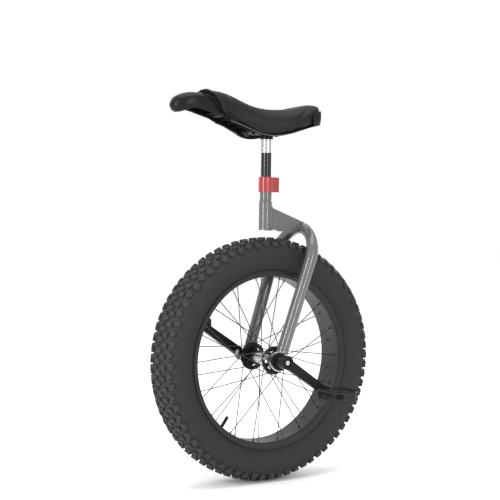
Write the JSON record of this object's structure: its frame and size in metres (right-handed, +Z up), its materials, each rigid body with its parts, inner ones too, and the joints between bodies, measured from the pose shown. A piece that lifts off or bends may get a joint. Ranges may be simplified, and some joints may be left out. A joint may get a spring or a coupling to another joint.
{
  "type": "unicycle",
  "caption": "Fat-tyre unicycle with a backward-leaning grey fork, an adjustable seat post, a long curved saddle with a grab handle, cranks and platform pedals.",
  "frame": {"origin": "on the ground straight below the axle, which is also the bottom centre of the object's box", "axes": "+X forward, towards the saddle's nose; +Y to the rider's left along the axle; +Z up"},
  "size_m": [0.5738, 0.38, 0.9139],
  "materials": {
    "frame_paint": "gloss grey enamel",
    "polished_alloy": "polished",
    "clamp_red": "red anodised",
    "black_gloss_paint": "gloss black",
    "black_satin_metal": "satin black",
    "bolt_chrome": "polished",
    "bolt_black": "black oxide",
    "steel": "ground",
    "spoke_black": "black",
    "nipple_brass": "nickel-plated brass",
    "insert_brass": "plain",
    "rim_alloy": "satin bed, black edges",
    "tyre_rubber": "matt",
    "soft_rubber": "matt",
    "saddle_skin": "smooth black synthetic leather",
    "saddle_padding": "foam",
    "saddle_plastic": "fine texture",
    "pedal_plastic": "moulded"
  },
  "bodies": {
    "frame": {"fork_tube": "frame_paint", "left_bearing_housing": "polished_alloy", "right_bearing_housing": "polished_alloy", "left_bearing_cap": "polished_alloy", "right_bearing_cap": "polished_alloy", "bearing_cap_bolts": "bolt_chrome", "bearing_outer_races": "bolt_black", "bearing_seals": "soft_rubber", "seat_tube": "frame_paint", "crown_arm": "frame_paint", "seat_clamp": "clamp_red", "clamp_bolts": "bolt_black"},
    "seat": {"seat_post": "black_gloss_paint", "post_sleeve": "polished_alloy", "saddle_bracket": "black_satin_metal", "saddle_bolts": "bolt_black", "saddle_base": "saddle_plastic", "saddle_inserts": "insert_brass", "saddle_foam": "saddle_padding", "saddle_cover": "saddle_skin", "front_handle": "saddle_plastic", "rear_bumper": "saddle_plastic"},
    "wheel": {"tyre": "tyre_rubber", "inner_tube": "soft_rubber", "rim_strip": "soft_rubber", "rim": "rim_alloy", "rim_joint_sleeve": "polished_alloy", "spokes_left": "spoke_black", "spokes_right": "spoke_black", "spoke_nipples": "nipple_brass", "valve_stem": "soft_rubber", "valve_cap": "pedal_plastic", "hub_shell": "polished_alloy", "left_hub_flange": "black_satin_metal", "right_hub_flange": "black_satin_metal", "spindle": "steel", "bearing_inner_races": "bolt_black", "bearing_balls": "steel", "hub_spacers": "polished_alloy", "crank_spacers": "black_satin_metal", "left_crank": "black_satin_metal", "right_crank": "black_satin_metal", "crank_bolts": "bolt_chrome", "left_pedal_axle": "steel", "right_pedal_axle": "steel", "left_pedal_nut": "steel", "right_pedal_nut": "steel"},
    "left_pedal": {"left_pedal_cage": "pedal_plastic", "left_pedal_bushes": "pedal_plastic", "left_pedal_cap": "pedal_plastic"},
    "right_pedal": {"right_pedal_cage": "pedal_plastic", "right_pedal_bushes": "pedal_plastic", "right_pedal_cap": "pedal_plastic"}
  },
  "joints": [
    {"name": "seat_height", "type": "slide", "parent": "frame", "child": "seat", "axis": [0, 0, 1], "range_m": [-0.038, 0.025]},
    {"name": "wheel_spin", "type": "hinge", "parent": "frame", "child": "wheel", "pos_m": [0, 0, 0.287], "axis": [0, 1, 0], "continuous": true},
    {"name": "left_pedal_spin", "type": "hinge", "parent": "wheel", "child": "left_pedal", "pos_m": [-0.11451, 0.15, 0.21178], "axis": [0, 1, 0], "continuous": true},
    {"name": "right_pedal_spin", "type": "hinge", "parent": "wheel", "child": "right_pedal", "pos_m": [0.11451, -0.15, 0.36222], "axis": [0, 1, 0], "continuous": true}
  ]
}
